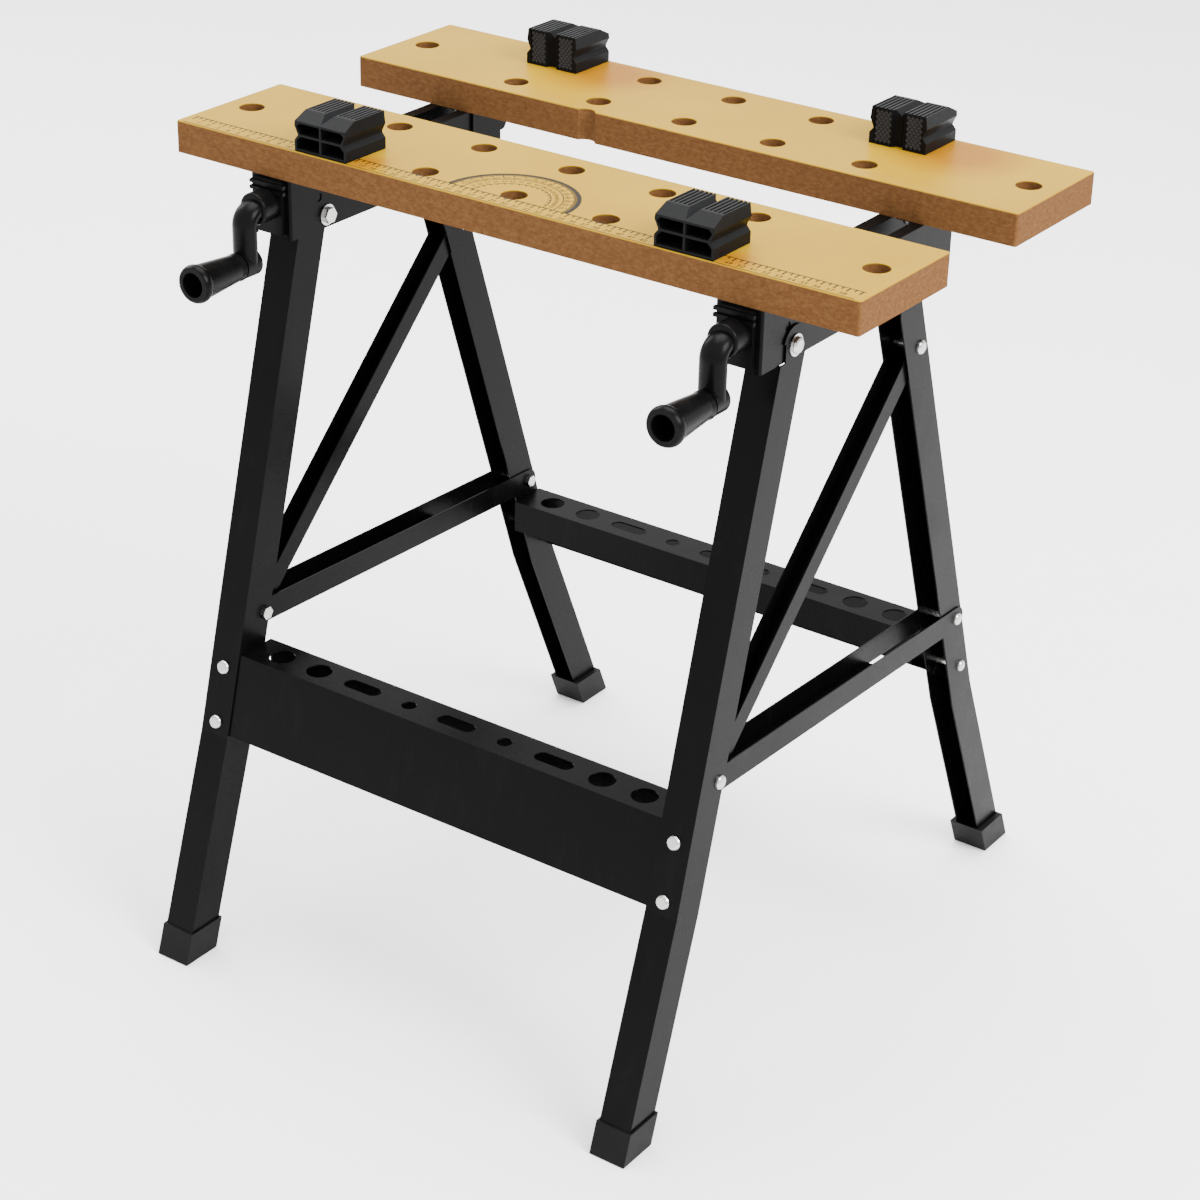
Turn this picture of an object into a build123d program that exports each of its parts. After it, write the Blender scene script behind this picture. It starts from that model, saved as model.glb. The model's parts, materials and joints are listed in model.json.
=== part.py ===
from build123d import *
from math import cos, hypot, radians, tan
import os

# Folding clamping workbench: two slotted-beam vise jaws on a folding steel trestle.
# Millimetres. X runs along the jaws, +Y to the rear, +Z up from the floor.
# The origin lies on the floor, midway between the front and rear feet.

# ---- driving dimensions -------------------------------------------------------------
JAW_LENGTH = 605.0
JAW_WIDTH = 120.0
JAW_THICKNESS = 25.0
TOP_Z = 655.0
JAW_GAP = 97.0                     # opening between the jaws, fully open
FRONT_EDGE_Y = -153.0              # front edge of the fixed front jaw

DOG_HOLE_RADIUS = 10.0
DOG_PITCH = 80.5                   # dog holes along each row
ROW_OFFSET = 35.0                  # each row from the jaw's centreline
END_HOLE_X = 279.0

FOOT_Y = 276.0                     # centre of each foot from the origin
BEAM_IN, BEAM_OUT = 190.0, 228.3   # vise beam's inner and outer faces, from the centre
BEAM_BOTTOM = 583.0
BEAM_REAR_Y = 107.0
SHEET = 1.2
SLOT_IN, SLOT_OUT = 200.0, 218.0   # slot in the beam's top for the nut
SLOT_FRONT_Y = -40.0
DIMPLE_CENTRE, DIMPLE_DEPTH = (-120.0, 609.0), 0.8

SCREW_X, SCREW_Z, SCREW_RADIUS = 209.2, 610.0, 4.0
SCREW_REAR_Y = 103.0

FRONT_LEG_IN, FRONT_LEG_OUT = 202.2, 229.8
REAR_LEG_IN, REAR_LEG_OUT = 205.2, 226.8
BRACE_IN, BRACE_OUT = 204.0, 228.0
DIAGONAL_IN, DIAGONAL_OUT = 207.5, 224.5
BRACE_SHEET = 1.0
LEG_DEPTH = 30.0
FRONT_EAR, REAR_EAR = 15.0, 9.5    # radius of each leg's round top end
FRONT_WEB_TOP, REAR_WEB_TOP = 582.4, 581.0   # the legs' webs stop below the vise beams
BRACE_DEPTH = 20.0
DIAGONAL_DEPTH = 16.0

# pivots and knees as (Y, Z) pairs in the plane of a side frame
FRONT_PIVOT = (-111.0, 593.0)
REAR_PIVOT = (48.0, 592.0)
HOOK_PIVOT = (-183.0, 278.0)
DIAGONAL_PIVOT = (75.0, 531.0)
BRACE_PIVOT = (170.0, 264.0)
KNEE_BOLT = (185.5, 214.0)
FRONT_KNEE = (-218.0, 180.0)
REAR_KNEE = (192.5, 185.0)
FRONT_FOOT = (-FOOT_Y, 0.0)
REAR_FOOT = (FOOT_Y, 0.0)

PIVOT_RADIUS = 4.0                 # beam pivot bolts
BOLT_RADIUS = 3.5                  # brace and rail bolts
PIN_GAP = 0.1                      # radial clearance of a bolt in its hole

CAP_WALL = 2.0
CAP_HEIGHT = 26.0
CAP_FLOOR = 3.0

RAIL_SHEET = 1.2
RAIL_HEIGHT = 62.0
RAIL_SHELF = 36.0
RAIL_FLANGE = 28.0
RAIL_LIP = 9.0
RAIL_TOP_Z = 252.0
RAIL_HALF = 201.9
RAIL_TAB_HALF = 224.0
RAIL_ROUND_X = (174.0, 136.0)
RAIL_SLOT_X = (92.0, 0.0)
RAIL_SMALL_X = (46.0,)
RAIL_BOLT_X = 216.0
RAIL_BOLT_DROPS = (14.0, 60.0)     # rail bolts below the rail's top edge

JAW_BOTTOM = TOP_Z - JAW_THICKNESS
REAR_JAW_FRONT_Y = FRONT_EDGE_Y + JAW_WIDTH + JAW_GAP

os.makedirs("parts", exist_ok=True)


# ---- small helpers ------------------------------------------------------------------
def save(builder, name):
    builder.part.label = name
    export_step(builder.part, f"parts/{name}.step")


def save_pair(builder, name):
    """Writes the right-hand piece and its mirror image for the left-hand side."""
    save(builder, f"right_{name}")
    with BuildPart() as twin:
        mirror(builder.part, about=Plane.YZ)
    save(twin, f"left_{name}")


def side_plane(x):
    """Sketch plane across the bench at x: local x is world Y, local y is world Z."""
    return Plane(origin=(x, 0, 0), x_dir=(0, 1, 0), z_dir=(1, 0, 0))


def front_plane(y):
    """Sketch plane at y, looking to the rear: local x is world X, local y is world Z."""
    return Plane(origin=(0, y, 0), x_dir=(1, 0, 0), z_dir=(0, -1, 0))


def unit(a, b):
    length = hypot(b[0] - a[0], b[1] - a[1])
    return ((b[0] - a[0]) / length, (b[1] - a[1]) / length)


def offset_line(points, distance):
    """Mitred copy of a three-point line, shifted to the rear (+) or to the front (-)."""
    first, second = unit(points[0], points[1]), unit(points[1], points[2])
    normal_1, normal_2 = (-first[1], first[0]), (-second[1], second[0])
    if normal_1[0] < 0:
        normal_1, normal_2 = (-normal_1[0], -normal_1[1]), (-normal_2[0], -normal_2[1])
    mitre = (normal_1[0] + normal_2[0], normal_1[1] + normal_2[1])
    scale = distance / (1 + normal_1[0] * normal_2[0] + normal_1[1] * normal_2[1])
    start = (points[0][0] + normal_1[0] * distance, points[0][1] + normal_1[1] * distance)
    middle = (points[1][0] + mitre[0] * scale, points[1][1] + mitre[1] * scale)
    end = (points[2][0] + normal_2[0] * distance, points[2][1] + normal_2[1] * distance)
    return [start, middle, end]


def at_height(points, z):
    """The Y of a straight line through the last two points at height z."""
    (y1, z1), (y2, z2) = points[-2], points[-1]
    return y1 + (y2 - y1) * (z - z1) / (z2 - z1)


def band(points, front, rear, floor):
    """Closed outline of a leg between two offsets from its centreline, cut at a floor."""
    ahead, behind = offset_line(points, front), offset_line(points, rear)
    ahead[2] = (at_height(ahead, floor), floor)
    behind[2] = (at_height(behind, floor), floor)
    return ahead + behind[::-1]


def disc_x(x0, x1, centre, radius, mode=Mode.ADD):
    """Round bar or hole along X between x0 and x1, centred at (Y, Z)."""
    with BuildSketch(side_plane(x0)) as face:
        with Locations(centre):
            Circle(radius)
    extrude(face.sketch, amount=x1 - x0, mode=mode)


def block(x0, x1, y0, y1, z0, z1, mode=Mode.ADD):
    with BuildSketch(Plane.XY.offset(z0)) as face:
        with Locations(((x0 + x1) / 2, (y0 + y1) / 2)):
            Rectangle(x1 - x0, y1 - y0)
    extrude(face.sketch, amount=z1 - z0, mode=mode)


def side_shape(points, x0, x1, mode=Mode.ADD):
    """Flat polygon in the side plane, given as (Y, Z) points, extruded from x0 to x1."""
    with BuildSketch(side_plane(x0)) as face:
        with BuildLine():
            Polyline(*points, close=True)
        make_face()
    extrude(face.sketch, amount=x1 - x0, mode=mode)


# ---- jaws ---------------------------------------------------------------------------
def dog_hole_points(front_y):
    centre = front_y + JAW_WIDTH / 2
    points = [(-END_HOLE_X, centre), (END_HOLE_X, centre)]
    for step in range(-2, 3):
        points.append((step * DOG_PITCH, centre - ROW_OFFSET))
        points.append((step * DOG_PITCH, centre + ROW_OFFSET))
    return points


def jaw(front_y, grooved):
    edge_break = 0.7
    groove_x, groove_radius, groove_depth = -74.0, 9.0, 5.0
    with BuildPart() as board:
        block(-JAW_LENGTH / 2, JAW_LENGTH / 2, front_y, front_y + JAW_WIDTH, JAW_BOTTOM, TOP_Z)
        fillet(board.edges().filter_by(Axis.Z), 2.0)
        chamfer(board.faces().sort_by(Axis.Z)[-1].edges(), edge_break)
        with BuildSketch(Plane.XY.offset(JAW_BOTTOM)):
            with Locations(*dog_hole_points(front_y)):
                Circle(DOG_HOLE_RADIUS)
        extrude(amount=JAW_THICKNESS, mode=Mode.SUBTRACT)
        if grooved:
            with BuildSketch(Plane.XY.offset(JAW_BOTTOM)):
                with Locations((groove_x, front_y - groove_radius + groove_depth)):
                    Circle(groove_radius)
            extrude(amount=JAW_THICKNESS, mode=Mode.SUBTRACT)
    return board


# ---- vise beams ---------------------------------------------------------------------
def vise_beam():
    front_lip = 5.0
    with BuildPart() as beam:
        block(BEAM_IN, BEAM_OUT, FRONT_EDGE_Y, BEAM_REAR_Y, BEAM_BOTTOM, JAW_BOTTOM)
        fillet(beam.edges().filter_by(Axis.Z).group_by(Axis.Y)[0], 2.0)
        block(BEAM_IN + SHEET, BEAM_OUT - SHEET, FRONT_EDGE_Y + SHEET, BEAM_REAR_Y,
              BEAM_BOTTOM, JAW_BOTTOM - SHEET, Mode.SUBTRACT)
        block(BEAM_IN + front_lip, BEAM_OUT - front_lip, FRONT_EDGE_Y, FRONT_EDGE_Y + SHEET,
              BEAM_BOTTOM, JAW_BOTTOM - SHEET, Mode.SUBTRACT)
        block(SLOT_IN, SLOT_OUT, SLOT_FRONT_Y, BEAM_REAR_Y,
              JAW_BOTTOM - SHEET, JAW_BOTTOM, Mode.SUBTRACT)
        disc_x(BEAM_IN, BEAM_OUT, FRONT_PIVOT, PIVOT_RADIUS + PIN_GAP, Mode.SUBTRACT)
        disc_x(BEAM_IN, BEAM_OUT, REAR_PIVOT, PIVOT_RADIUS + PIN_GAP, Mode.SUBTRACT)
        disc_x(BEAM_OUT - DIMPLE_DEPTH, BEAM_OUT, DIMPLE_CENTRE, 3.4, Mode.SUBTRACT)
        disc_x(BEAM_IN, BEAM_IN + DIMPLE_DEPTH, DIMPLE_CENTRE, 3.4, Mode.SUBTRACT)
    return beam


def bearing_block():
    """Plastic end block that carries the crank end of the screw."""
    gap = 0.2
    with BuildPart() as bearing:
        block(BEAM_IN + SHEET + gap, BEAM_OUT - SHEET - gap, -151.6, -133.0, 585.0, 628.6)
        block(195.4, 222.9, -157.0, -151.6, 587.0, 628.6)
        for lip_z in (619.5, 624.5):
            block(191.8, 224.6, -159.0, -156.0, lip_z, lip_z + 2.6)
        with BuildSketch(front_plane(-157.0)):
            with Locations((SCREW_X, SCREW_Z)):
                Circle(12.5)
        extrude(amount=2.0)
        with BuildSketch(front_plane(-130.0)):
            with Locations((SCREW_X, SCREW_Z)):
                Circle(SCREW_RADIUS + 0.15)
        extrude(amount=32.0, mode=Mode.SUBTRACT)
    return bearing


# ---- screws and cranks --------------------------------------------------------------
def screw_bar():
    with BuildPart() as bar:
        with BuildSketch(front_plane(SCREW_REAR_Y)):
            with Locations((SCREW_X, SCREW_Z)):
                Circle(SCREW_RADIUS)
        extrude(amount=SCREW_REAR_Y + 172.0)
        chamfer(bar.edges().sort_by(Axis.Y)[-1], 1.0)
    return bar


def screw_collar():
    with BuildPart() as collar:
        with BuildSketch(front_plane(-127.8)):
            with Locations((SCREW_X, SCREW_Z)):
                Circle(5.6)
                Circle(SCREW_RADIUS, mode=Mode.SUBTRACT)
        extrude(amount=5.0)
    return collar


CRANK_HUB_REAR_Y = -159.5
CRANK_HUB_FRONT_Y = -174.0
ARM_Y = -183.0                     # centre of the arm below the elbow
CRANK_DROP = 40.0
GRIP_REAR_Y = -191.0
GRIP_LENGTH = 50.0
GRIP_Z = SCREW_Z - CRANK_DROP
SPINDLE_RADIUS = 5.0


def crank():
    """Round hub on the screw, an elbow that turns down, and the stub that carries the grip."""
    hub_radius, hub_edge = 12.5, 2.0
    arm_half_x, arm_half_y, elbow_radius = 10.5, 7.6, 11.0
    end_radius = 10.5
    bend = elbow_radius * (1 - cos(radians(45)))
    with BuildPart() as arm:
        with BuildSketch(front_plane(CRANK_HUB_REAR_Y)):
            with Locations((SCREW_X, SCREW_Z)):
                Circle(hub_radius)
        extrude(amount=CRANK_HUB_REAR_Y - CRANK_HUB_FRONT_Y)
        fillet(arm.edges().group_by(Axis.Y)[0], hub_edge)
        # elbow: a flattened round bar that leaves the hub forwards and turns down
        with BuildLine() as route:
            Line((SCREW_X, CRANK_HUB_FRONT_Y + 8.0, SCREW_Z), (SCREW_X, ARM_Y + elbow_radius, SCREW_Z))
            ThreePointArc((SCREW_X, ARM_Y + elbow_radius, SCREW_Z),
                          (SCREW_X, ARM_Y + bend, SCREW_Z - bend),
                          (SCREW_X, ARM_Y, SCREW_Z - elbow_radius))
            Line((SCREW_X, ARM_Y, SCREW_Z - elbow_radius), (SCREW_X, ARM_Y, GRIP_Z))
        with BuildSketch(front_plane(CRANK_HUB_FRONT_Y + 8.0)):
            with Locations((SCREW_X, SCREW_Z)):
                Ellipse(arm_half_x, arm_half_y)
        sweep(path=route.line)
        # round lower end, flat towards the grip
        with BuildSketch(front_plane(ARM_Y + arm_half_y)):
            with Locations((SCREW_X, GRIP_Z)):
                Circle(end_radius)
        extrude(amount=ARM_Y + arm_half_y - GRIP_REAR_Y)
        with BuildSketch(front_plane(GRIP_REAR_Y + 2.0)):
            with Locations((SCREW_X, GRIP_Z)):
                Circle(SPINDLE_RADIUS)
        extrude(amount=26.0)
        with BuildSketch(front_plane(GRIP_REAR_Y - 20.5)):
            with Locations((SCREW_X, GRIP_Z)):
                Circle(7.0)
        extrude(amount=4.0)
        with BuildSketch(front_plane(CRANK_HUB_REAR_Y)):
            with Locations((SCREW_X, SCREW_Z)):
                Circle(SCREW_RADIUS)
        extrude(amount=12.5, mode=Mode.SUBTRACT)
    return arm


def grip():
    """Hollow tapered sleeve, open at the front, that spins on the crank's stub."""
    y0 = GRIP_REAR_Y - 0.6
    axis_frame = Plane(origin=(SCREW_X, y0, GRIP_Z), x_dir=(1, 0, 0), z_dir=(0, 0, 1))
    with BuildPart() as sleeve:
        with BuildSketch(axis_frame):
            with BuildLine():
                Polyline((SPINDLE_RADIUS + 0.3, 0), (10.0, 0), (11.0, -1.5), (10.6, -6.0),
                         (13.6, -GRIP_LENGTH + 8.0))
                ThreePointArc((13.6, -GRIP_LENGTH + 8.0), (14.9, -GRIP_LENGTH + 4.0),
                              (13.4, -GRIP_LENGTH))
                Polyline((13.4, -GRIP_LENGTH), (9.6, -GRIP_LENGTH), (8.8, -18.0),
                         (SPINDLE_RADIUS + 0.3, -18.0), (SPINDLE_RADIUS + 0.3, 0))
            make_face()
        revolve(axis=Axis((SCREW_X, 0, GRIP_Z), (0, 1, 0)))
    return sleeve


def screw_nut():
    """Nut that the screw drives, with its neck and flange up to the sliding jaw."""
    half = 5.2
    with BuildPart() as nut:
        block(SCREW_X - half, SCREW_X + half, 80.0, 102.0, 602.5, 628.0)
        block(SCREW_X - 8.0, SCREW_X + 8.0, 70.0, 112.0, 627.0, JAW_BOTTOM)
        with BuildSketch(front_plane(103.0)):
            with Locations((SCREW_X, SCREW_Z)):
                Circle(SCREW_RADIUS + 0.15)
        extrude(amount=24.0, mode=Mode.SUBTRACT)
        with BuildSketch(Plane.XY.offset(JAW_BOTTOM)):
            with Locations((SCREW_X, 74.0), (SCREW_X, 108.0)):
                Circle(2.1)
        extrude(amount=-4.0, mode=Mode.SUBTRACT)
    return nut


def jaw_guide():
    """Angle bracket that keeps the sliding jaw square to the vise beam."""
    inner = BEAM_IN - 0.5
    with BuildPart() as guide:
        block(inner - 1.6, inner, 68.0, 112.0, 606.0, JAW_BOTTOM)
        block(inner - 18.0, inner, 68.0, 112.0, JAW_BOTTOM - 1.6, JAW_BOTTOM)
        fillet(guide.edges().filter_by(Axis.X).group_by(Axis.Z)[0], 6.0)
        with BuildSketch(Plane.XY.offset(JAW_BOTTOM)):
            with Locations((inner - 10.0, 78.0), (inner - 10.0, 102.0)):
                Circle(2.1)
        extrude(amount=-2.0, mode=Mode.SUBTRACT)
    return guide


# ---- legs, caps and rails -----------------------------------------------------------
def web_bores(points, side, mode):
    """Bores for the rail's bolts through the tall plate and the leg's web."""
    for along in RAIL_BOLT_DROPS:
        point, outward = web_point(points, side, along)
        for x in (-RAIL_BOLT_X, RAIL_BOLT_X):
            bore = Plane(origin=(x, point[0] + outward[0] * 5, point[1] + outward[1] * 5),
                         z_dir=(0, -outward[0], -outward[1]))
            with BuildSketch(bore) as face:
                Circle(BOLT_RADIUS + PIN_GAP)
            extrude(face.sketch, amount=12, mode=mode)


def leg_band(points, front, rear, floor, ear, inner_x, outer_x, mode=Mode.ADD):
    """Leg body between two offsets, narrowing to a round ear at the pivot."""
    neck = 25.0
    along = unit(points[0], points[1])
    start = (points[0][0] + along[0] * neck, points[0][1] + along[1] * neck)
    line = [start, points[1], points[2]]
    side_shape(band(line, front, rear, floor), inner_x, outer_x, mode)
    top = offset_line([points[0], start, points[1]], -ear)
    tail = offset_line([points[0], start, points[1]], ear)
    shoulder = offset_line(line, front)[0]
    heel = offset_line(line, rear)[0]
    side_shape([top[0], shoulder, heel, tail[0]], inner_x, outer_x, mode)
    disc_x(inner_x, outer_x, points[0], ear, mode)


def leg(points, inner_x, outer_x, web_side, ear, web_top, holes, notch):
    """C-section leg: a web on one side (-1 front, +1 rear) and two flanges."""
    half = LEG_DEPTH / 2
    floor = CAP_FLOOR
    reach = 80.0
    web_face = web_side * (half - SHEET)
    hollow = (web_face, -web_side * reach)
    pivot = points[0]
    with BuildPart() as channel:
        leg_band(points, -half, half, floor, ear, inner_x, outer_x)
        side_shape(band(points, min(hollow), max(hollow), floor - 1.0),
                   inner_x + SHEET, outer_x - SHEET, Mode.SUBTRACT)
        disc_x(inner_x + SHEET, outer_x - SHEET, pivot, ear + 1.0, Mode.SUBTRACT)
        block(inner_x + SHEET, outer_x - SHEET, pivot[0] - 40, pivot[0] + 40,
              web_top, pivot[1] + 20, Mode.SUBTRACT)
        block(inner_x - 1, outer_x + 1, pivot[0] - 60 if web_side < 0 else pivot[0] + 12,
              pivot[0] - 12 if web_side < 0 else pivot[0] + 60,
              web_top, pivot[1] + 4, Mode.SUBTRACT)
        disc_x(inner_x - 1, outer_x + 1, pivot, PIVOT_RADIUS + PIN_GAP, Mode.SUBTRACT)
        for hole in holes:
            disc_x(inner_x - 1, outer_x + 1, hole, BOLT_RADIUS + PIN_GAP, Mode.SUBTRACT)
        side_shape(notch, inner_x - 1, inner_x + SHEET + 0.5, Mode.SUBTRACT)
        web_bores(points, web_side, Mode.SUBTRACT)
    return channel


def foot_cap(points, inner_x, outer_x):
    """Plastic cap pushed over the end of a leg, flat on the floor."""
    half = LEG_DEPTH / 2
    side_wall = (31.0 - (outer_x - inner_x)) / 2
    clearance = 0.1
    with BuildPart() as cap:
        side_shape(band(points, -half - CAP_WALL, half + CAP_WALL, 0.0),
                   inner_x - side_wall, outer_x + side_wall)
        block(inner_x - 20, outer_x + 20, -400, 400, CAP_HEIGHT, 800, Mode.SUBTRACT)
        side_shape(band(points, -half - clearance, half + clearance, CAP_FLOOR),
                   inner_x - clearance, outer_x + clearance, Mode.SUBTRACT)
        fillet(cap.edges().group_by(Axis.Z)[0], 1.2)
    return cap


def rail_profile(points, side):
    """J section of a tool rail, as (Y, Z) points; side is -1 at the front, +1 at the rear."""
    face = offset_line(points, side * (LEG_DEPTH / 2 - SHEET - 0.1))
    direction = unit(face[1], face[0])
    top = (face[0][0] + (face[1][0] - face[0][0]) * (face[0][1] - RAIL_TOP_Z)
           / (face[0][1] - face[1][1]), RAIL_TOP_Z)
    bottom = (top[0] - direction[0] * RAIL_HEIGHT, top[1] - direction[1] * RAIL_HEIGHT)
    inward = -side
    t = RAIL_SHEET
    outline = [
        bottom,
        top,
        (top[0] + inward * RAIL_SHELF, RAIL_TOP_Z),
        (top[0] + inward * RAIL_SHELF, RAIL_TOP_Z - RAIL_FLANGE),
        (top[0] + inward * (RAIL_SHELF - t), RAIL_TOP_Z - RAIL_FLANGE),
        (top[0] + inward * (RAIL_SHELF - t), RAIL_TOP_Z - t),
        (top[0] + inward * t * 1.1, RAIL_TOP_Z - t),
        (bottom[0] + inward * t * 1.1, bottom[1] + t),
        (bottom[0] + inward * RAIL_LIP, bottom[1] + t),
        (bottom[0] + inward * RAIL_LIP, bottom[1]),
    ]
    return outline, top, bottom, direction


def tab_outline(points, side, margin, depth):
    """Strip of the rail's tall plate that lies against a leg's web."""
    outline, top, bottom, direction = rail_profile(points, side)
    inward = -side
    upper = (top[0] - direction[0] * (3.0 - margin), top[1] - direction[1] * (3.0 - margin))
    lower = (bottom[0] - direction[0] * (6.0 + margin), bottom[1] - direction[1] * (6.0 + margin))
    return [upper, lower, (lower[0] + inward * depth, lower[1]), (upper[0] + inward * depth, upper[1])]


def web_point(points, side, along):
    """A point on the outer face of a leg's web, at a distance below the rail's top edge."""
    outline, top, bottom, direction = rail_profile(points, side)
    outward = (-direction[1] if side < 0 else direction[1], direction[0] if side < 0 else -direction[0])
    base = (top[0] - direction[0] * along, top[1] - direction[1] * along)
    return (base[0] + outward[0] * (SHEET + 0.1), base[1] + outward[1] * (SHEET + 0.1)), outward


def rail(points, side, tab_half):
    outline, top, bottom, direction = rail_profile(points, side)
    shelf_y = top[0] - side * RAIL_SHELF / 2
    with BuildPart() as channel:
        side_shape(outline, -RAIL_HALF, RAIL_HALF)
        side_shape(tab_outline(points, side, 0.0, RAIL_SHEET * 1.1), -tab_half, tab_half)
        with BuildSketch(Plane.XY.offset(RAIL_TOP_Z)):
            for x in RAIL_ROUND_X:
                with Locations((-x, shelf_y), (x, shelf_y)):
                    Circle(10.5)
            for x in RAIL_SLOT_X:
                for sign in ((-1, 1) if x else (1,)):
                    with Locations((sign * x, shelf_y)):
                        SlotOverall(34, 13)
            for x in RAIL_SMALL_X:
                with Locations((-x, shelf_y), (x, shelf_y)):
                    Circle(6.0)
        extrude(amount=-RAIL_SHEET - 0.5, mode=Mode.SUBTRACT)
        web_bores(points, side, Mode.SUBTRACT)
    return channel


# ---- braces -------------------------------------------------------------------------
def brace(start, end, inner_x, outer_x, depth, slot_way, web_gap):
    """U section, open on its upper side, from a plain pivot to a hooked end."""
    along = unit(start, end)
    up = (-along[1], along[0]) if along[0] > 0 else (along[1], -along[0])
    half = depth / 2
    length = hypot(end[0] - start[0], end[1] - start[1])

    def place(distance, rise):
        return (start[0] + along[0] * distance + up[0] * rise,
                start[1] + along[1] * distance + up[1] * rise)

    with BuildPart() as channel:
        side_shape([place(0, -half), place(length, -half), place(length, half), place(0, half)],
                   inner_x, outer_x)
        disc_x(inner_x, outer_x, start, half)
        disc_x(inner_x, outer_x, end, half)
        side_shape([place(-half - 1, -half + BRACE_SHEET), place(length + half + 1, -half + BRACE_SHEET),
                    place(length + half + 1, half + 1), place(-half - 1, half + 1)],
                   inner_x + BRACE_SHEET, outer_x - BRACE_SHEET, Mode.SUBTRACT)
        side_shape([place(-half - 1, -half - 1), place(web_gap, -half - 1),
                    place(web_gap, half + 1), place(-half - 1, half + 1)],
                   inner_x + BRACE_SHEET, outer_x - BRACE_SHEET, Mode.SUBTRACT)
        side_shape([place(length - 4, -half - 1), place(length + half + 1, -half - 1),
                    place(length + half + 1, half + 1), place(length - 4, half + 1)],
                   inner_x + BRACE_SHEET, outer_x - BRACE_SHEET, Mode.SUBTRACT)
        disc_x(inner_x - 1, outer_x + 1, start, BOLT_RADIUS + PIN_GAP, Mode.SUBTRACT)
        # open hook that drops away from the front leg's bolt
        slot_half = BOLT_RADIUS + 1.3
        across = (-slot_way[1], slot_way[0])
        mouth = [(end[0] + across[0] * slot_half * s + slot_way[0] * r,
                  end[1] + across[1] * slot_half * s + slot_way[1] * r)
                 for s, r in ((-1, 0), (1, 0), (1, 30), (-1, 30))]
        disc_x(inner_x - 1, outer_x + 1, end, slot_half, Mode.SUBTRACT)
        side_shape(mouth, inner_x - 1, outer_x + 1, Mode.SUBTRACT)
    return channel


# ---- bench dogs ---------------------------------------------------------------------
DOG_WIDTH, DOG_LENGTH, DOG_HEIGHT = 49.0, 46.0, 29.0
PEG_RADIUS, PEG_LENGTH = 9.8, 24.0
KNURL_DEPTH, KNURL_NEAR, KNURL_MARGIN = 0.8, 5.6, 3.6


def bench_dog(x, y, facing):
    """Clamping peg with a grooved head; facing is -1 where the grip face looks forward."""
    half = DOG_WIDTH / 2
    z0 = TOP_Z
    grip_y = y + facing * DOG_LENGTH / 2
    back_y = y - facing * DOG_LENGTH / 2
    low, high = min(grip_y, back_y), max(grip_y, back_y)
    head_plane = front_plane(high)
    with BuildPart() as dog:
        with BuildSketch(head_plane):
            with BuildLine():
                Polyline((x - half, z0), (x - half, z0 + 8.5), (x - half + 3.2, z0 + 12.2),
                         (x - half + 2.8, z0 + 14.0), (x - half, z0 + 19.5),
                         (x - half + 1.2, z0 + DOG_HEIGHT), (x - 4.5, z0 + DOG_HEIGHT),
                         (x, z0 + DOG_HEIGHT - 5.0), (x + 4.5, z0 + DOG_HEIGHT),
                         (x + half - 1.2, z0 + DOG_HEIGHT), (x + half, z0 + 19.5),
                         (x + half - 2.8, z0 + 14.0), (x + half - 3.2, z0 + 12.2),
                         (x + half, z0 + 8.5), (x + half, z0), close=True)
            make_face()
        extrude(amount=high - low)
        # the back end slopes down from the top
        side_shape([(back_y, z0 + 23.2), (back_y + facing * 12.0, z0 + DOG_HEIGHT),
                    (back_y + facing * 12.0, z0 + DOG_HEIGHT + 2), (back_y - facing * 2, z0 + DOG_HEIGHT + 2),
                    (back_y - facing * 2, z0 + 23.2)], x - half - 1, x + half + 1, Mode.SUBTRACT)
        # ribbed top
        rib_pitch = 3.6
        for sign in (-1, 1):
            for step in range(5):
                groove_x = x + sign * (7.0 + step * rib_pitch)
                block(groove_x - 0.75, groove_x + 0.75, min(grip_y, back_y + facing * 14.5),
                      max(grip_y, back_y + facing * 14.5), z0 + DOG_HEIGHT - 1.0, z0 + DOG_HEIGHT + 1,
                      Mode.SUBTRACT)
        # half-round groove down the grip face, for round stock
        with BuildSketch(Plane.XY.offset(z0)):
            with Locations((x, grip_y + facing * 0.5)):
                Circle(5.0)
        extrude(amount=DOG_HEIGHT + 1, mode=Mode.SUBTRACT)
        # recessed panels of the knurled grip face, either side of the groove
        panel_low, panel_high = sorted((grip_y, grip_y - facing * KNURL_DEPTH))
        for sign in (-1, 1):
            near, far = sorted((x + sign * KNURL_NEAR, x + sign * (half - KNURL_MARGIN)))
            block(near, far, panel_low, panel_high, z0 + 0.8, z0 + DOG_HEIGHT - 1.2, Mode.SUBTRACT)
        # four hollow cells open at the back, two below the waist and two above it
        rib_half, wall = 0.9, 1.9
        cell_end = grip_y - facing * 8.0
        depth = abs(back_y - cell_end)
        for sign in (-1, 1):
            lower_cell = [(rib_half, 2.0), (half - wall, 2.0), (half - wall, 8.0), (half - 5.6, 11.6),
                          (rib_half, 11.6)]
            upper_cell = [(rib_half, 13.4), (half - 5.0, 13.4), (half - wall, 18.8), (half - 4.6, 21.6),
                          (rib_half, 21.6)]
            for cell in (lower_cell, upper_cell):
                with BuildSketch(front_plane(high if facing < 0 else low + depth)):
                    with BuildLine():
                        Polyline(*[(x + sign * cx, z0 + cz) for cx, cz in cell], close=True)
                    make_face()
                extrude(amount=depth, mode=Mode.SUBTRACT)
        with BuildSketch(Plane.XY.offset(z0)):
            with Locations((x, y)):
                Circle(PEG_RADIUS)
        extrude(amount=-PEG_LENGTH)
        chamfer(dog.faces().sort_by(Axis.Z)[0].edges(), 1.2)
    return dog


# ---- bolts --------------------------------------------------------------------------
HEAD_STEPS = ((1.3, 6.0), (1.0, 34.0), (0.7, 60.0))   # rise and slope of each ring of a domed head


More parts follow.
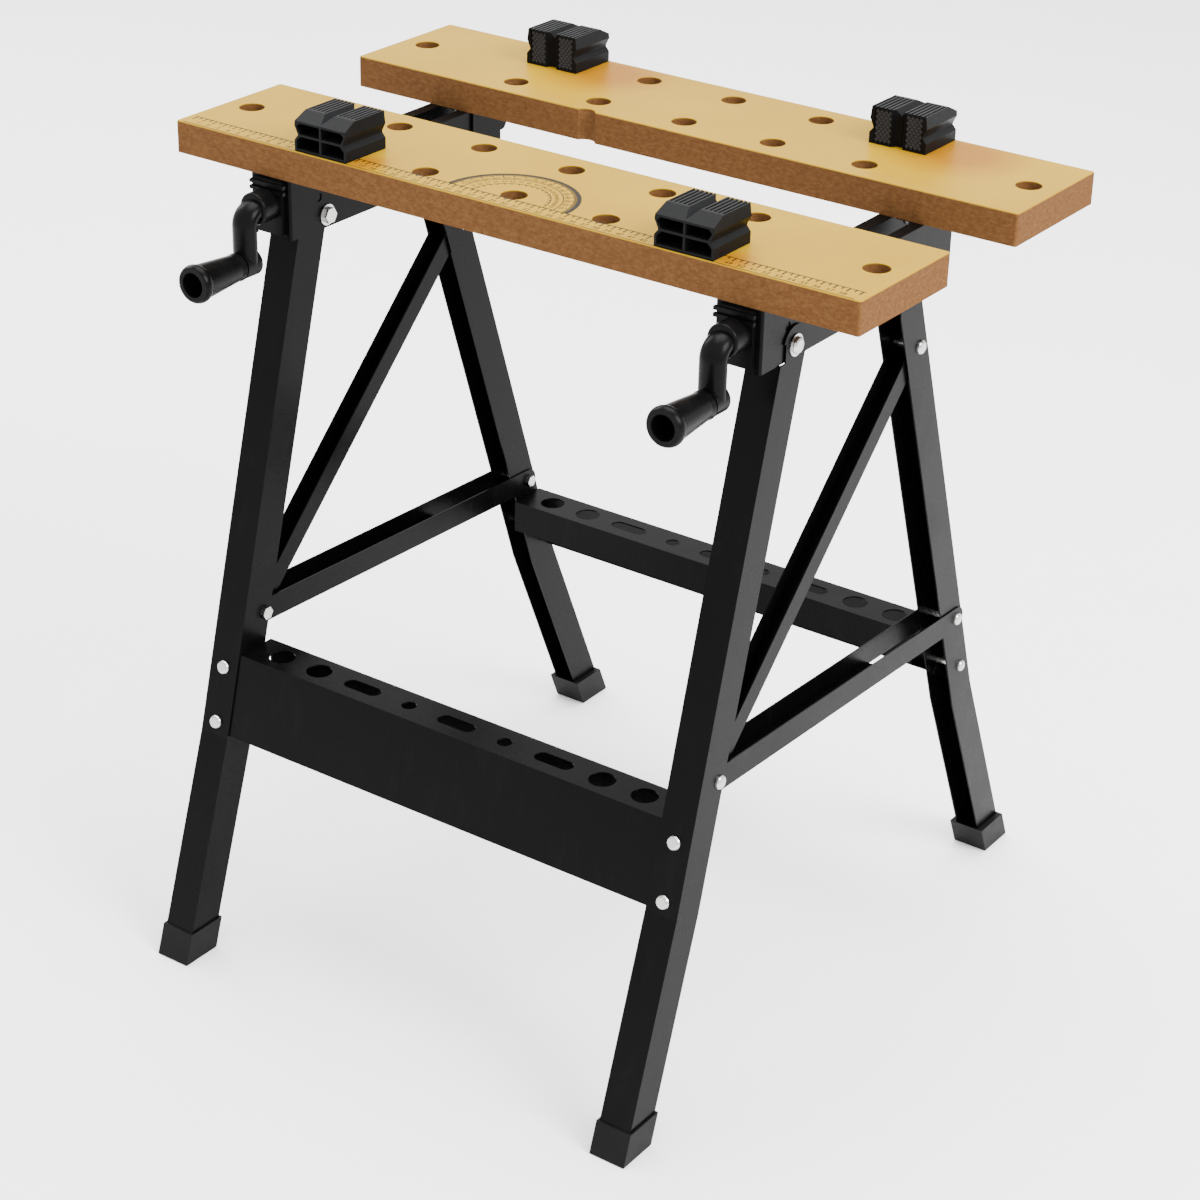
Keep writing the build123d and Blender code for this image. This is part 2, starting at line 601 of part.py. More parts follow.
def cross_bolt(x_in, x_out, centre, radius, head_radius, washer):
    """Bolt along X with a domed head outside, a nut inside and a thin washer under each."""
    nut = 3.6
    disc_x(x_in - washer - nut, x_out + washer, centre, radius)
    if washer:
        disc_x(x_out + 0.02, x_out + washer, centre, head_radius + 1.8)
        disc_x(x_in - washer, x_in - 0.02, centre, head_radius + 1.8)
    base, size = x_out + washer, head_radius
    for rise, slope in HEAD_STEPS:
        with BuildSketch(side_plane(base)) as head_face:
            with Locations(centre):
                Circle(size)
        extrude(head_face.sketch, amount=rise, taper=slope)
        base, size = base + rise, size - rise * tan(radians(slope))
    with BuildSketch(side_plane(x_in - washer - nut)) as nut_face:
        with Locations(centre):
            RegularPolygon(head_radius, 6)
    extrude(nut_face.sketch, amount=nut)


def cross_bolt_pair(x_in, x_out, centre, radius, head_radius, washer=0.0):
    with BuildPart() as bolts:
        cross_bolt(x_in, x_out, centre, radius, head_radius, washer)
        mirror(about=Plane.YZ)
    return bolts


def rail_bolts(points, side):
    """Four short bolts through the legs' webs and the rail's tabs."""
    with BuildPart() as bolts:
        for along in RAIL_BOLT_DROPS:
            point, outward = web_point(points, side, along)
            for x in (-RAIL_BOLT_X, RAIL_BOLT_X):
                seat = Plane(origin=(x, point[0] + outward[0] * 0.02, point[1] + outward[1] * 0.02),
                             z_dir=(0, outward[0], outward[1]))
                base, size = 0.0, 5.6
                for rise, slope in HEAD_STEPS:
                    with BuildSketch(seat.offset(base)):
                        Circle(size)
                    extrude(amount=rise, taper=slope)
                    base, size = base + rise, size - rise * tan(radians(slope))
                with BuildSketch(seat):
                    Circle(BOLT_RADIUS)
                extrude(amount=-6.5)
    return bolts


def jaw_screws(points):
    """Pan-head screws driven up into a jaw from below."""
    with BuildPart() as screws:
        for x, y, seat_z in points:
            with BuildSketch(Plane.XY.offset(seat_z)):
                with Locations((x, y)):
                    Circle(2.0)
            extrude(amount=JAW_BOTTOM + 12.0 - seat_z)
            with BuildSketch(Plane.XY.offset(seat_z)):
                with Locations((x, y)):
                    Circle(4.2)
            extrude(amount=-2.4, taper=18)
    return screws


def drill_for_screws(board, points):
    with BuildPart() as drilled:
        add(board.part)
        for x, y, seat_z in points:
            with BuildSketch(Plane.XY.offset(JAW_BOTTOM)):
                with Locations((x, y)):
                    Circle(2.05)
            extrude(amount=12.5, mode=Mode.SUBTRACT)
    return drilled


def drill_beam(beam, points):
    with BuildPart() as drilled:
        add(beam.part)
        for x, y, seat_z in points:
            if x > 0:
                with BuildSketch(Plane.XY.offset(JAW_BOTTOM)):
                    with Locations((x, y)):
                        Circle(2.1)
                extrude(amount=-2.0, mode=Mode.SUBTRACT)
    return drilled


# ---- build the assembly -------------------------------------------------------------
front_leg_line = [FRONT_PIVOT, FRONT_KNEE, FRONT_FOOT]
rear_leg_line = [REAR_PIVOT, REAR_KNEE, REAR_FOOT]

beam_seat_z = JAW_BOTTOM - SHEET
front_screw_points = [(sign * x, y, beam_seat_z) for sign in (-1, 1)
                      for x, y in ((196.5, -100.0), (196.5, -52.0))]
guide_x = BEAM_IN - 0.5 - 10.0
rear_screw_points = [(sign * guide_x, y, JAW_BOTTOM - 1.6) for sign in (-1, 1) for y in (78.0, 102.0)]
nut_screw_points = [(sign * SCREW_X, y, 627.0) for sign in (-1, 1) for y in (74.0, 108.0)]

front_jaw = drill_for_screws(jaw(FRONT_EDGE_Y, False), front_screw_points)
save(front_jaw, "front_jaw")
rear_jaw = drill_for_screws(jaw(REAR_JAW_FRONT_Y, True), rear_screw_points + nut_screw_points)
save(rear_jaw, "rear_jaw")
save(jaw_screws(front_screw_points), "front_jaw_screws")
save(jaw_screws(rear_screw_points + nut_screw_points), "rear_jaw_screws")

save_pair(drill_beam(vise_beam(), front_screw_points), "vise_beam")
save_pair(bearing_block(), "bearing_block")
save_pair(screw_bar(), "vise_screw")
save_pair(screw_collar(), "screw_collar")
save_pair(crank(), "crank")
save_pair(grip(), "crank_grip")
save_pair(screw_nut(), "screw_nut")
save_pair(jaw_guide(), "jaw_guide")

front_notch = tab_outline(front_leg_line, -1, 0.6, 2.2)
rear_notch = tab_outline(rear_leg_line, 1, 0.6, 2.2)
front_leg = leg(front_leg_line, FRONT_LEG_IN, FRONT_LEG_OUT, -1, FRONT_EAR, FRONT_WEB_TOP,
                [HOOK_PIVOT], front_notch)
rear_leg = leg(rear_leg_line, REAR_LEG_IN, REAR_LEG_OUT, 1, REAR_EAR, REAR_WEB_TOP,
               [DIAGONAL_PIVOT, BRACE_PIVOT, KNEE_BOLT], rear_notch)
save_pair(front_leg, "front_leg")
save_pair(rear_leg, "rear_leg")
save_pair(foot_cap(front_leg_line, FRONT_LEG_IN, FRONT_LEG_OUT), "front_foot")
save_pair(foot_cap(rear_leg_line, REAR_LEG_IN, REAR_LEG_OUT), "rear_foot")
save(rail(front_leg_line, -1, RAIL_TAB_HALF), "front_tool_rail")
save(rail(rear_leg_line, 1, RAIL_TAB_HALF), "rear_tool_rail")

lower_brace = brace(BRACE_PIVOT, HOOK_PIVOT, BRACE_IN, BRACE_OUT, BRACE_DEPTH, (0.263, 0.965), 100.0)
diagonal = brace(DIAGONAL_PIVOT, HOOK_PIVOT, DIAGONAL_IN, DIAGONAL_OUT, DIAGONAL_DEPTH,
                 (-0.25, 0.968), 14.0)
save_pair(lower_brace, "lower_brace")
save_pair(diagonal, "diagonal_brace")

row_front = FRONT_EDGE_Y + JAW_WIDTH / 2 - ROW_OFFSET
row_rear = REAR_JAW_FRONT_Y + JAW_WIDTH / 2 + ROW_OFFSET
for name, x, y, facing in (
    ("front_left_dog", -2 * DOG_PITCH, row_front, 1),
    ("front_right_dog", 2 * DOG_PITCH, row_front, 1),
    ("rear_left_dog", -2 * DOG_PITCH, row_rear, -1),
    ("rear_right_dog", 2 * DOG_PITCH, row_rear, -1),
):
    save(bench_dog(x, y, facing), name)

save(cross_bolt_pair(BEAM_IN, FRONT_LEG_OUT, FRONT_PIVOT, PIVOT_RADIUS, 6.4, 1.0), "front_pivot_bolts")
save(cross_bolt_pair(BEAM_IN, BEAM_OUT, REAR_PIVOT, PIVOT_RADIUS, 6.0), "rear_pivot_bolts")
save(cross_bolt_pair(FRONT_LEG_IN, FRONT_LEG_OUT, HOOK_PIVOT, BOLT_RADIUS, 5.6), "hook_bolts")
save(cross_bolt_pair(REAR_LEG_IN, REAR_LEG_OUT, DIAGONAL_PIVOT, BOLT_RADIUS, 5.6), "diagonal_bolts")
save(cross_bolt_pair(BRACE_IN - 0.1, BRACE_OUT + 0.1, BRACE_PIVOT, BOLT_RADIUS, 5.2), "brace_bolts")
save(cross_bolt_pair(REAR_LEG_IN, REAR_LEG_OUT, KNEE_BOLT, BOLT_RADIUS, 4.8), "knee_bolts")
save(rail_bolts(front_leg_line, -1), "front_rail_bolts")
save(rail_bolts(rear_leg_line, 1), "rear_rail_bolts")
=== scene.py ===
import bpy
import json
import math
from mathutils import Matrix, Vector


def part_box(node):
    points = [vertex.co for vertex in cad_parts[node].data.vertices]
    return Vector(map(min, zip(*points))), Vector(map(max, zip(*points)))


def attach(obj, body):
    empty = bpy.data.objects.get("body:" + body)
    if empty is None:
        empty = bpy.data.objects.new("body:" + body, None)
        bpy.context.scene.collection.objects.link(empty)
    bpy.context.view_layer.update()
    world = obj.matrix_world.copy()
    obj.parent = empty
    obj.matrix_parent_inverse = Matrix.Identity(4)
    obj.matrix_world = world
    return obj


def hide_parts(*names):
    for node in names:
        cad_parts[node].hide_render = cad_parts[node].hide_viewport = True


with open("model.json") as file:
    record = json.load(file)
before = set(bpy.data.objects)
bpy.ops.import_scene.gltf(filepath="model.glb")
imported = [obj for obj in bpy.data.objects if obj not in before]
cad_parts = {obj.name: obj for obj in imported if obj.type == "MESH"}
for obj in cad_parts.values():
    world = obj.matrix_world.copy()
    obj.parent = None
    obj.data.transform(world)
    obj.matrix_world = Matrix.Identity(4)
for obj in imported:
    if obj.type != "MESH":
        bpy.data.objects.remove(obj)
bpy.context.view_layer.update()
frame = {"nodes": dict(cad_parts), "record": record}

NODES = frame["nodes"]
RECORD = frame["record"]
SLOT_OF = {s["node"]: s["material_slot"] for s in RECORD["subparts"]}
MM = 0.001


# ---------------------------------------------------------------- camera
CAMERA_AZIMUTH, CAMERA_ELEVATION, CAMERA_ROLL = 34.801, 27.193, 1.388  # degrees
CAMERA_SPOT = (1.1801, -1.7063, 1.3439)
SENSOR_WIDTH, LENS = 36.0, 86.946  # millimetres


def aim_camera():
    """Puts the camera in front, to the right and above, with a slight roll."""
    az, el, roll = map(math.radians, (CAMERA_AZIMUTH, CAMERA_ELEVATION, CAMERA_ROLL))
    back = Vector((math.sin(az) * math.cos(el), -math.cos(az) * math.cos(el), math.sin(el)))
    right = Vector((math.cos(az), math.sin(az), 0.0))
    up = back.cross(right)
    r = math.cos(roll) * right + math.sin(roll) * up
    u = -math.sin(roll) * right + math.cos(roll) * up
    data = bpy.data.cameras.new("camera")
    data.sensor_width = SENSOR_WIDTH
    data.lens = LENS
    data.clip_end = 30.0
    cam = bpy.data.objects.new("camera", data)
    bpy.context.scene.collection.objects.link(cam)
    m = Matrix((r, u, back)).transposed().to_4x4()
    m.translation = Vector(CAMERA_SPOT)
    cam.matrix_world = m
    bpy.context.scene.camera = cam


aim_camera()


# ---------------------------------------------------------------- materials
class Mat:
    """Small builder for node materials."""

    def __init__(self, name):
        self.mat = bpy.data.materials.new(name)
        self.mat.use_nodes = True
        self.t = self.mat.node_tree
        self.bsdf = self.t.nodes["Principled BSDF"]
        self.coord = self.t.nodes.new("ShaderNodeTexCoord")

    def set(self, **kw):
        for k, v in kw.items():
            self.bsdf.inputs[k.replace("_", " ")].default_value = v

    def link(self, a, b):
        self.t.links.new(a, b)

    def mapped(self, scale):
        n = self.t.nodes.new("ShaderNodeMapping")
        n.inputs["Scale"].default_value = scale
        self.link(self.coord.outputs["Object"], n.inputs["Vector"])
        return n.outputs["Vector"]

    def noise(self, scale, detail=4.0, rough=0.55, stretch=(1, 1, 1)):
        n = self.t.nodes.new("ShaderNodeTexNoise")
        n.inputs["Scale"].default_value = scale
        n.inputs["Detail"].default_value = detail
        n.inputs["Roughness"].default_value = rough
        self.link(self.mapped(stretch), n.inputs["Vector"])
        return n.outputs["Fac"]

    def ramp(self, fac, stops):
        n = self.t.nodes.new("ShaderNodeValToRGB")
        e = n.color_ramp.elements
        while len(e) < len(stops):
            e.new(0.5)
        for i, (p, c) in enumerate(stops):
            e[i].position = p
            e[i].color = (*c, 1.0)
        self.link(fac, n.inputs["Fac"])
        return n.outputs["Color"]

    def span(self, fac, lo, hi, a=0.0, b=1.0):
        n = self.t.nodes.new("ShaderNodeMapRange")
        n.inputs["From Min"].default_value = a
        n.inputs["From Max"].default_value = b
        n.inputs["To Min"].default_value = lo
        n.inputs["To Max"].default_value = hi
        self.link(fac, n.inputs["Value"])
        return n.outputs["Result"]

    def mix(self, fac, a, b):
        """Blends colour a into colour b; each is a fixed colour or another node's output."""
        n = self.t.nodes.new("ShaderNodeMix")
        n.data_type = "RGBA"
        self.link(fac, n.inputs[0])
        for sock, v in ((n.inputs[6], a), (n.inputs[7], b)):
            if isinstance(v, tuple):
                sock.default_value = (*v, 1.0)
            else:
                self.link(v, sock)
        return n.outputs[2]

    def bump(self, height, strength, distance):
        n = self.t.nodes.new("ShaderNodeBump")
        n.inputs["Strength"].default_value = strength
        n.inputs["Distance"].default_value = distance
        self.link(height, n.inputs["Height"])
        return n.outputs["Normal"]

    def out(self, color, rough, normal=None):
        self.link(color, self.bsdf.inputs["Base Color"])
        self.link(rough, self.bsdf.inputs["Roughness"])
        if normal is not None:
            self.link(normal, self.bsdf.inputs["Normal"])
        return self.mat


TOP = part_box("front_jaw")[1][2]
# painted shade on the lacquer beside each dog (darker, deeper amber): node, offset in X and Y from the dog,
# radius
DOG_SHADE_SPOTS = (
    ("front_left_dog", 0.034, -0.012, 0.022),
    ("front_right_dog", 0.034, -0.012, 0.022),
    ("rear_left_dog", 0.045, -0.005, 0.060),
    ("rear_right_dog", 0.045, -0.005, 0.060),
)
FIBRE_DARK, FIBRE_MID, FIBRE_PALE = (0.072, 0.030, 0.0095), (0.095, 0.041, 0.0130), (0.125, 0.060, 0.021)
FIBRE_SPECK = (0.040, 0.014, 0.004)
LACQUER_DEEP, LACQUER_PALE = (0.262, 0.150, 0.0004), (0.300, 0.176, 0.0010)
LACQUER_GRAIN = (0.215, 0.108, 0.0003)
# painted shade colour for the lacquer beside the dogs
PAINTED_DOG_SHADE = (0.195, 0.064, 0.0001)
BOARD_ROUGH, LACQUER_ROUGH = (0.78, 0.78, 0.78), (0.36, 0.36, 0.36)


def mdf():
    """Golden lacquered top face over brown raw board, told apart by the object's own Z; painted shade
    darkens the lacquer beside each dog.
    """
    m = Mat("mdf")
    fibre = m.noise(330, 6, 0.72, (0.7, 0.7, 1.3))
    clouds = m.noise(9, 3, 0.5)
    specks = m.noise(620, 3, 0.6)
    edge = m.ramp(fibre, [(0.32, FIBRE_DARK), (0.50, FIBRE_MID), (0.72, FIBRE_PALE)])
    edge = m.mix(m.span(specks, 0.0, 0.45, 0.56, 0.72), edge, FIBRE_SPECK)
    face = m.ramp(clouds, [(0.3, LACQUER_DEEP), (0.7, LACQUER_PALE)])
    grain = m.noise(420, 4, 0.6, (0.15, 1, 1))
    face = m.mix(m.span(grain, 0.0, 0.25, 0.45, 0.8), face, LACQUER_GRAIN)
    # painted shade: the lacquer turns darker and deeper amber in a patch beside each dog
    for node, dx, dy, radius in DOG_SHADE_SPOTS:
        low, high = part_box(node)
        centre = ((low[0] + high[0]) / 2 + dx, (low[1] + high[1]) / 2 + dy, TOP)
        away = m.t.nodes.new("ShaderNodeVectorMath")
        away.operation = "DISTANCE"
        away.inputs[1].default_value = centre
        m.link(m.coord.outputs["Object"], away.inputs[0])
        dog_shade_mask = m.span(away.outputs["Value"], 0.75, 0.0, 0.35 * radius, radius)
        face = m.mix(dog_shade_mask, face, PAINTED_DOG_SHADE)
    sep = m.t.nodes.new("ShaderNodeSeparateXYZ")
    m.link(m.coord.outputs["Object"], sep.inputs[0])
    top = m.span(sep.outputs["Z"], 0.0, 1.0, TOP - 0.9 * MM, TOP - 0.3 * MM)
    col = m.mix(top, edge, face)
    rough = m.mix(top, BOARD_ROUGH, LACQUER_ROUGH)
    n = m.bump(fibre, 0.35, 0.0004)
    m.set(Specular_IOR_Level=0.06)
    return m.out(col, rough, n)


STEEL_DUST, PLASTIC_SCUFF = (0.014, 0.014, 0.014), (0.018, 0.018, 0.018)


def powder_coat(name, base, sheen):
    """Satin black powder coat: fine orange peel, a little dust and rubbed patches."""
    m = Mat(name)
    peel = m.noise(2600, 2, 0.5)
    cloud = m.noise(14, 4, 0.6)
    streak = m.noise(60, 5, 0.65, (1, 1, 0.12))
    col = m.mix(m.span(streak, 0.0, 0.5, 0.55, 0.8), base, tuple(c * 1.9 + 0.0015 for c in base))
    dust = m.span(m.noise(900, 3, 0.7), 0.0, 0.12, 0.62, 0.8)
    col = m.mix(dust, col, STEEL_DUST)
    rough = m.span(cloud, sheen - 0.06, sheen + 0.09, 0.3, 0.7)
    m.set(Specular_IOR_Level=0.040)
    return m.out(col, rough, m.bump(peel, 0.22, 0.0002))


def moulded(name, base, rough_mid, grain=1800):
    """Moulded plastic: fine texture, cloudy sheen and faint scuffs."""
    m = Mat(name)
    m.set(Specular_IOR_Level=0.050)
    g = m.noise(grain, 3, 0.6)
    cloud = m.noise(25, 3, 0.6)
    col = m.mix(m.span(cloud, 0.0, 0.6, 0.4, 0.8), base, tuple(c * 1.5 + 0.0015 for c in base))
    scuff = m.span(m.noise(220, 5, 0.7, (1, 0.3, 1)), 0.0, 0.15, 0.62, 0.78)
    col = m.mix(scuff, col, PLASTIC_SCUFF)
    return m.out(col, m.span(cloud, rough_mid - 0.07, rough_mid + 0.08, 0.3, 0.7), m.bump(g, 0.25, 0.0002))


def plated(name, base, rough_mid, stretch=(1, 1, 1)):
    """Bright metal with fine machining marks and dull spots."""
    m = Mat(name)
    m.set(Metallic=1.0)
    fine = m.noise(1300, 4, 0.7, stretch)
    cloud = m.noise(120, 3, 0.6)
    col = m.mix(m.span(cloud, 0.0, 0.5, 0.45, 0.75), base, tuple(c * 0.6 for c in base))
    return m.out(col, m.span(fine, rough_mid - 0.08, rough_mid + 0.12, 0.3, 0.7), m.bump(fine, 0.12, 0.0001))


def ink(name, base):
    """Matt printing ink, a little worn."""
    m = Mat(name)
    m.set(Specular_IOR_Level=0.10)
    f = m.noise(900, 3, 0.6)
    col = m.mix(m.span(f, 0.0, 0.5, 0.5, 0.8), base, tuple(min(1.0, c * 2.2) for c in base))
    return m.out(col, m.span(f, 0.42, 0.6, 0.3, 0.7), m.bump(f, 0.1, 0.0001))


MATS = {
    "mdf": mdf(),
    "black_steel": powder_coat("black_steel", (0.0016, 0.0016, 0.0017), 0.25),
    "zinc": plated("zinc", (0.46, 0.46, 0.45), 0.22),
    "screw_steel": plated("screw_steel", (0.50, 0.49, 0.47), 0.33, (1, 6, 1)),
    "black_plastic": moulded("black_plastic", (0.0017, 0.0017, 0.0018), 0.28),
    "dog_plastic": moulded("dog_plastic", (0.0034, 0.0035, 0.0038), 0.42),
    "dog_knurl": moulded("dog_knurl", (0.020, 0.0205, 0.022), 0.50),
    "foot_plastic": moulded("foot_plastic", (0.0040, 0.0040, 0.0042), 0.42, 1200),
}
INK = ink("print_ink", (0.008, 0.0050, 0.0020))

SOFT_EDGED = ("black_steel", "black_plastic", "dog_plastic", "foot_plastic")
EDGE_RADIUS = 0.45 * MM
SHARP_ANGLE = 38  # degrees; flatter joints stay crisp


def soften_edges(obj):
    bevel = obj.modifiers.new("edge", "BEVEL")
    bevel.width = EDGE_RADIUS
    bevel.segments = 2
    bevel.limit_method = "ANGLE"
    bevel.angle_limit = math.radians(SHARP_ANGLE)
    bevel.harden_normals = True


for name, obj in NODES.items():
    slot = SLOT_OF[name]
    obj.data.materials.clear()
    obj.data.materials.append(MATS[slot])
    if slot in SOFT_EDGED:
        soften_edges(obj)


# ---------------------------------------------------------------- mesh helpers
def mesh_object(name, verts, faces, material, body, smooth=False):
    me = bpy.data.meshes.new(name)
    me.from_pydata([tuple(v) for v in verts], [], faces)
    me.materials.append(material)
    if smooth:
        for p in me.polygons:
            p.use_smooth = True
    me.update()
    ob = bpy.data.objects.new(name, me)
    bpy.context.scene.collection.objects.link(ob)
    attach(ob, body)
    return ob


class Bag:
    """Collects upright prisms and small pyramids into one mesh."""

    def __init__(self):
        self.v = []
        self.f = []

    def prism(self, ring, low, high):
        n = len(ring)
        b = len(self.v)
        self.v += [(x, y, low) for x, y in ring] + [(x, y, high) for x, y in ring]
        self.f.append(tuple(b + i for i in reversed(range(n))))
        self.f.append(tuple(b + n + i for i in range(n)))
        for i in range(n):
            j = (i + 1) % n
            self.f.append((b + i, b + j, b + n + j, b + n + i))

    def pyramid(self, base, apex):
        b = len(self.v)
        self.v += list(base) + [apex]
        n = len(base)
        self.f.append(tuple(b + i for i in reversed(range(n))))
        for i in range(n):
            self.f.append((b + i, b + (i + 1) % n, b + n))


# ---------------------------------------------------------------- printed scales on the front jaw
JAW_LOW, JAW_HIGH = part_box("front_jaw")
INK_SINK, INK_RISE = 0.02 * MM, 0.06 * MM
INK_LOW, INK_HIGH = TOP - INK_SINK, TOP + INK_RISE
DIGIT_HALF_DEPTH = 0.03 * MM
BASE_LINE = JAW_LOW[1] + 16.5 * MM  # inner line of the ruler and straight side of the protractor


def bar(bag, x0, y0, x1, y1, half):
    """Thin printed line from one point to another."""
    d = Vector((x1 - x0, y1 - y0))
    d.normalize()
    n = Vector((-d.y, d.x)) * half
    ring = [(x0 - n.x, y0 - n.y), (x1 - n.x, y1 - n.y), (x1 + n.x, y1 + n.y), (x0 + n.x, y0 + n.y)]
    bag.prism(ring, INK_LOW, INK_HIGH)


def digits(text, x, y, size, angle, name):
    """Printed number centred on a point of the jaw's top."""
    c = bpy.data.curves.new(name, "FONT")
    c.body = text
    c.size = size
    c.align_x = "CENTER"
    c.align_y = "CENTER"
    c.extrude = DIGIT_HALF_DEPTH
    o = bpy.data.objects.new(name, c)
    o.matrix_world = Matrix.Translation((x, y, TOP + DIGIT_HALF_DEPTH)) @ Matrix.Rotation(angle, 4, "Z")
    bpy.context.scene.collection.objects.link(o)
    c.materials.append(INK)
    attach(o, "top")


RULER_MM, TICK_STEP_MM, NUMBER_STEP_MM = 590, 5, 10
RULER_MARGIN = 6 * MM
RULER_ZERO = JAW_LOW[0] + 7.5 * MM
OUTER_LINE = JAW_LOW[1] + 1.6 * MM
LONG_TICK, SHORT_TICK = 6.2 * MM, 3.8 * MM
DOG_COVER = 4 * MM  # numbers this close to a front dog's sides would lie under it


def under_dog(x):
    """True where a front dog stands on the ruler."""
    boxes = [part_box(node) for node in ("front_left_dog", "front_right_dog")]
    return any(low[0] - DOG_COVER < x < high[0] + DOG_COVER for low, high in boxes)


def ruler():
    """Centimetre scale along the front edge."""
    x_left, x_right = JAW_LOW[0] + RULER_MARGIN, JAW_HIGH[0] - RULER_MARGIN
    bag = Bag()
    bar(bag, x_left, OUTER_LINE, x_right, OUTER_LINE, 0.45 * MM)
    bar(bag, x_left, BASE_LINE, x_right, BASE_LINE, 0.50 * MM)
    for i in range(0, RULER_MM + 1, TICK_STEP_MM):
        x = RULER_ZERO + i * MM
        tick = LONG_TICK if i % NUMBER_STEP_MM == 0 else SHORT_TICK
        bar(bag, x, BASE_LINE, x, BASE_LINE - tick, 0.62 * MM)
    mesh_object("ruler_print", bag.v, bag.f, INK, "top")
    for k in range(1, RULER_MM // NUMBER_STEP_MM):
        x = RULER_ZERO + k * NUMBER_STEP_MM * MM
        if not under_dog(x):
            digits(str(k), x, OUTER_LINE + 4.2 * MM, 6.2 * MM, 0.0, f"ruler_{k}")


ARC_OUTER, ARC_MIDDLE, ARC_INNER = 50 * MM, 40 * MM, 31 * MM
THICK_ARC, THIN_ARC = 3.2 * MM, 0.8 * MM
ARC_STEPS = 72
DEGREE_RING, BACK_DEGREE_RING = 43.2 * MM, 35.5 * MM


def around(radius, angle):
    """Point at a radius and angle from the protractor's centre."""
    return radius * math.cos(angle), BASE_LINE + radius * math.sin(angle)


def arc_band(bag, inner, outer):
    for i in range(ARC_STEPS):
        a, b = math.pi * i / ARC_STEPS, math.pi * (i + 1) / ARC_STEPS
        ring = [around(inner, a), around(outer, a), around(outer, b), around(inner, b)]
        bag.prism(ring, INK_LOW, INK_HIGH)


def protractor():
    """Half-round angle scale about the middle of the ruler's inner line."""
    bag = Bag()
    for radius, width in ((ARC_OUTER, THICK_ARC), (ARC_MIDDLE, THIN_ARC), (ARC_INNER, THIN_ARC)):
        arc_band(bag, radius, radius + width)
    for deg in range(0, 181, 2):
        a = math.radians(deg)
        tick = 4.0 * MM if deg % 10 == 0 else 2.2 * MM
        bar(bag, *around(ARC_OUTER - tick, a), *around(ARC_OUTER, a), 0.55 * MM)
        if deg % 10 == 0:
            bar(bag, *around(ARC_INNER, a), *around(ARC_INNER - 1.8 * MM, a), 0.55 * MM)
    mesh_object("protractor_print", bag.v, bag.f, INK, "top")
    for deg in range(10, 180, 10):
        a = math.radians(deg)
        turn = a - math.pi / 2
        digits(str(deg), *around(DEGREE_RING, a), 5.2 * MM, turn, f"degree_{deg}")
        digits(str(180 - deg), *around(BACK_DEGREE_RING, a), 4.4 * MM, turn, f"degree_back_{deg}")


ruler()
protractor()


# ---------------------------------------------------------------- threads on the vise screws
THREAD_LEAD, THREAD_DEPTH = 4 * MM, 0.9 * MM
THREAD_CLEARANCE = 0.04 * MM
THREAD_SEGMENTS, ROWS_PER_TURN = 32, 8


def thread_radius(core, crest, turns):
    """Radius where the helix has made this many turns: flat root, sloped flanks, flat crest."""
    flank = abs(2 * (turns % 1.0) - 1)
    return core + (crest - core) * min(1.0, max(0.0, (flank - 0.15) / 0.6))


def threaded_bar(node, body):
    """Screw with a real helix, in the place of the plain CAD bar."""
    low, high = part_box(node)
    cx, cz = (low[0] + high[0]) / 2, (low[2] + high[2]) / 2
    crest = (high[0] - low[0]) / 2 - THREAD_CLEARANCE
    core = crest - THREAD_DEPTH
    y0, y1 = low[1], high[1]
    seg = THREAD_SEGMENTS
    rows = int((y1 - y0) / THREAD_LEAD * ROWS_PER_TURN)
    verts, faces = [], []
    for i in range(rows + 1):
        y = y0 + (y1 - y0) * i / rows
        for s in range(seg):
            a = 2 * math.pi * s / seg
            r = core if i in (0, rows) else thread_radius(core, crest, y / THREAD_LEAD - s / seg)
            verts.append((cx + r * math.cos(a), y, cz + r * math.sin(a)))
    for i in range(rows):
        for s in range(seg):
            t = (s + 1) % seg
            faces.append((i * seg + s, (i + 1) * seg + s, (i + 1) * seg + t, i * seg + t))
    faces.append(tuple(range(seg)))
    faces.append(tuple(rows * seg + s for s in reversed(range(seg))))
    o = mesh_object(node + "_thread", verts, faces, MATS["screw_steel"], body, True)
    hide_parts(node)


threaded_bar("left_vise_screw", "left_spindle")
threaded_bar("right_vise_screw", "right_spindle")


# ---------------------------------------------------------------- knurled grip faces of the dogs
KNURL_PITCH = 4.2 * MM
KNURL_BACK, KNURL_TIP = 0.85 * MM, 0.03 * MM  # depths behind the grip face
PANEL_NEAR, PANEL_MARGIN = 5.8 * MM, 3.8 * MM  # from the dog's middle, and from its sides
PANEL_FOOT, PANEL_HEAD = 1.0 * MM, 1.4 * MM


